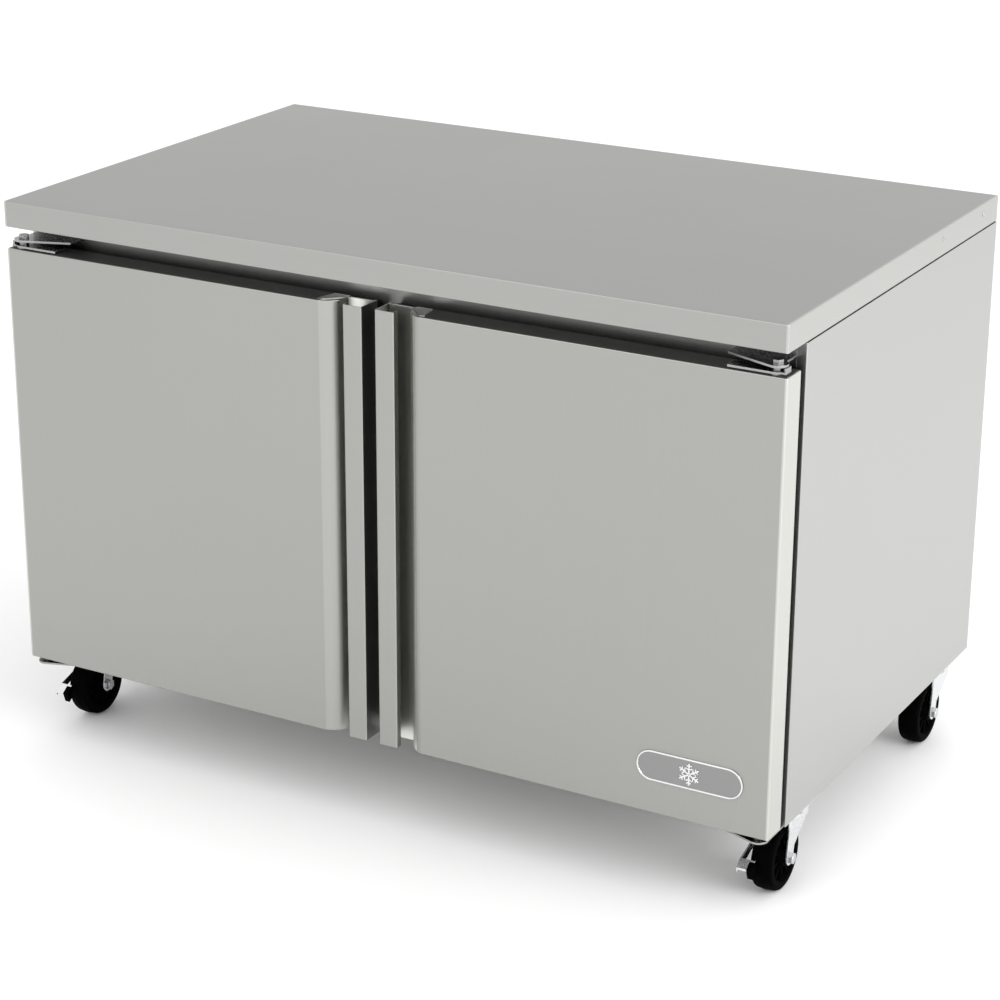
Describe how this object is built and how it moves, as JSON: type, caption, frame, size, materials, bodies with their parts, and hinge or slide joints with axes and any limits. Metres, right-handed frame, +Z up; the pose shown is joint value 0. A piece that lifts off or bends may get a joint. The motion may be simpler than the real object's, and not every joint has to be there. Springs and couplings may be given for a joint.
{
  "type": "under counter fridge",
  "caption": "Two-door stainless steel under counter refrigerator with a flat worktop, hooked full-height door pulls and swivel casters.",
  "frame": {"origin": "centre of the footprint, on the floor under the casters", "axes": "+X to the right when facing the doors, +Y towards the back, doors face -Y, +Z up"},
  "size_m": [1.222, 0.753, 0.836],
  "materials": {
    "worktop_steel": "satin, fine brushed grain along the length",
    "door_steel": "satin, fine vertical grain",
    "side_steel": "satin, fine vertical grain",
    "galvanised_steel": "dull galvanised sheet",
    "core_board": "resin bonded board",
    "foam": "rigid polyurethane foam",
    "liner_white": "smooth white coated sheet",
    "shelf_coating": "epoxy coated wire",
    "hinge_steel": "bright plated steel",
    "screw_steel": "plain stainless",
    "coil_aluminium": "mill finish fins",
    "motor_dark": "dark paint",
    "fan_plastic": "moulded",
    "control_plastic": "moulded, light texture",
    "knob_plastic": "moulded",
    "tray_plastic": "moulded",
    "compressor_black": "satin black enamel",
    "foot_rubber": "soft rubber",
    "copper": "drawn copper tube",
    "gasket_rubber": "soft vinyl",
    "badge_chrome": "polished",
    "caster_zinc": "bright zinc plated pressing",
    "axle_zinc": "zinc plated bolt",
    "wheel_black": "moulded polyurethane"
  },
  "bodies": {
    "cabinet": {"worktop": "worktop_steel", "worktop_core": "core_board", "left_side_panel": "side_steel", "right_side_panel": "side_steel", "rear_panel": "galvanised_steel", "base_panel": "side_steel", "cabinet_foam": "foam", "inner_liner": "liner_white", "front_frame": "side_steel", "shelf_standards": "screw_steel", "shelf_clips": "screw_steel", "left_shelf": "shelf_coating", "right_shelf": "shelf_coating", "evaporator_cover": "liner_white", "evaporator_coil": "coil_aluminium", "evaporator_fan_motor": "motor_dark", "thermostat_housing": "control_plastic", "machine_tray": "galvanised_steel", "compressor": "compressor_black", "compressor_feet": "foot_rubber", "condenser_coil": "coil_aluminium", "condenser_shroud": "galvanised_steel", "condenser_fan_motor": "motor_dark", "refrigerant_pipes": "copper", "condensate_tray": "tray_plastic", "junction_box": "galvanised_steel", "rear_grille": "galvanised_steel", "panel_screws": "screw_steel", "caster_plates": "caster_zinc", "caster_bolts": "screw_steel", "top_hinge_brackets": "hinge_steel", "bottom_hinge_brackets": "hinge_steel"},
    "left_door": {"left_door_skin": "door_steel", "left_door_liner": "liner_white", "left_door_foam": "foam", "left_door_gasket": "gasket_rubber", "left_door_hinge_plates": "hinge_steel"},
    "right_door": {"right_door_skin": "door_steel", "right_door_liner": "liner_white", "right_door_foam": "foam", "right_door_gasket": "gasket_rubber", "right_door_hinge_plates": "hinge_steel", "door_badge": "badge_chrome"},
    "evaporator_fan": {"evaporator_fan_blade": "fan_plastic"},
    "condenser_fan": {"condenser_fan_blade": "coil_aluminium"},
    "thermostat_dial": {"thermostat_knob": "knob_plastic"},
    "front_left_caster": {"front_left_fork": "caster_zinc", "front_left_axle": "axle_zinc"},
    "front_left_wheel": {"front_left_wheel": "wheel_black"},
    "front_right_caster": {"front_right_fork": "caster_zinc", "front_right_axle": "axle_zinc"},
    "front_right_wheel": {"front_right_wheel": "wheel_black"},
    "rear_left_caster": {"rear_left_fork": "caster_zinc", "rear_left_axle": "axle_zinc"},
    "rear_left_wheel": {"rear_left_wheel": "wheel_black"},
    "rear_right_caster": {"rear_right_fork": "caster_zinc", "rear_right_axle": "axle_zinc"},
    "rear_right_wheel": {"rear_right_wheel": "wheel_black"},
    "front_left_brake": {"front_left_brake_pedal": "caster_zinc"},
    "front_right_brake": {"front_right_brake_pedal": "caster_zinc"}
  },
  "joints": [
    {"name": "left_door_hinge", "type": "hinge", "parent": "cabinet", "child": "left_door", "pos_m": [-0.59, -0.36, 0.44625], "axis": [0, 0, -1], "range_deg": [0, 120]},
    {"name": "right_door_hinge", "type": "hinge", "parent": "cabinet", "child": "right_door", "pos_m": [0.59, -0.36, 0.44625], "axis": [0, 0, 1], "range_deg": [0, 120]},
    {"name": "evaporator_fan_spin", "type": "hinge", "parent": "cabinet", "child": "evaporator_fan", "pos_m": [0, 0.2215, 0.667], "axis": [0, 1, 0], "continuous": true},
    {"name": "condenser_fan_spin", "type": "hinge", "parent": "cabinet", "child": "condenser_fan", "pos_m": [-0.27, 0.2825, 0.2397], "axis": [0, 1, 0], "continuous": true},
    {"name": "thermostat_turn", "type": "hinge", "parent": "cabinet", "child": "thermostat_dial", "pos_m": [-0.21, 0.176, 0.557], "axis": [0, -1, 0], "range_deg": [0, 300]},
    {"name": "front_left_swivel", "type": "hinge", "parent": "cabinet", "child": "front_left_caster", "pos_m": [-0.575, -0.2415, 0.105], "axis": [0, 0, 1], "continuous": true},
    {"name": "front_left_roll", "type": "hinge", "parent": "front_left_caster", "child": "front_left_wheel", "pos_m": [-0.575, -0.2655, 0.05], "axis": [1, 0, 0], "continuous": true},
    {"name": "front_right_swivel", "type": "hinge", "parent": "cabinet", "child": "front_right_caster", "pos_m": [0.575, -0.2415, 0.105], "axis": [0, 0, 1], "continuous": true},
    {"name": "front_right_roll", "type": "hinge", "parent": "front_right_caster", "child": "front_right_wheel", "pos_m": [0.575, -0.2655, 0.05], "axis": [1, 0, 0], "continuous": true},
    {"name": "rear_left_swivel", "type": "hinge", "parent": "cabinet", "child": "rear_left_caster", "pos_m": [-0.575, 0.2985, 0.105], "axis": [0, 0, 1], "continuous": true},
    {"name": "rear_left_roll", "type": "hinge", "parent": "rear_left_caster", "child": "rear_left_wheel", "pos_m": [-0.575, 0.2745, 0.05], "axis": [1, 0, 0], "continuous": true},
    {"name": "rear_right_swivel", "type": "hinge", "parent": "cabinet", "child": "rear_right_caster", "pos_m": [0.575, 0.2985, 0.105], "axis": [0, 0, 1], "continuous": true},
    {"name": "rear_right_roll", "type": "hinge", "parent": "rear_right_caster", "child": "rear_right_wheel", "pos_m": [0.575, 0.2745, 0.05], "axis": [1, 0, 0], "continuous": true},
    {"name": "front_left_brake_press", "type": "hinge", "parent": "front_left_caster", "child": "front_left_brake", "pos_m": [-0.601, -0.2635, 0.074], "axis": [1, 0, 0], "range_deg": [0, 10]},
    {"name": "front_right_brake_press", "type": "hinge", "parent": "front_right_caster", "child": "front_right_brake", "pos_m": [0.549, -0.2635, 0.074], "axis": [1, 0, 0], "range_deg": [0, 10]}
  ]
}
